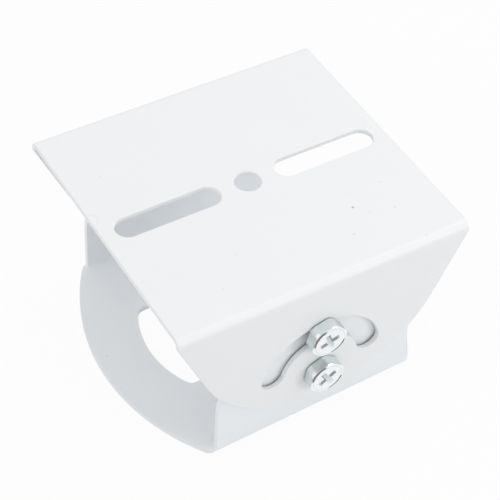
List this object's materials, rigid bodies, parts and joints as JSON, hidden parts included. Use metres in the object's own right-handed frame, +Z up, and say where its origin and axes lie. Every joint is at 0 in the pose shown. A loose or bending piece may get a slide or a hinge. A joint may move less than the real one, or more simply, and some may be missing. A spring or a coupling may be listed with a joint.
{
  "type": "tilting camera mounting bracket",
  "caption": "Tilting bracket for a camera: a slotted top plate turns over a base with round-topped walls, pivoting on screws and locked in arc slots.",
  "frame": {"origin": "centre of the lower bracket's underside, in the middle of its cable opening", "axes": "+Z up through the mounting plate, +Y along the tilt axis towards the back, +X along the folds"},
  "size_m": [0.1026, 0.1024, 0.0646],
  "materials": {
    "white_powder_coat": "satin",
    "zinc_plated_steel": "polished"
  },
  "bodies": {
    "base": {"lower_bracket": "white_powder_coat", "pivot_screw_front": "zinc_plated_steel", "lock_screw_front": "zinc_plated_steel", "pivot_screw_back": "zinc_plated_steel", "lock_screw_back": "zinc_plated_steel"},
    "head": {"upper_bracket": "white_powder_coat"}
  },
  "joints": [
    {"name": "tilt", "type": "hinge", "parent": "base", "child": "head", "pos_m": [0, 0, 0.023], "axis": [0, 1, 0], "range_deg": [-47.4, 42.6]}
  ]
}
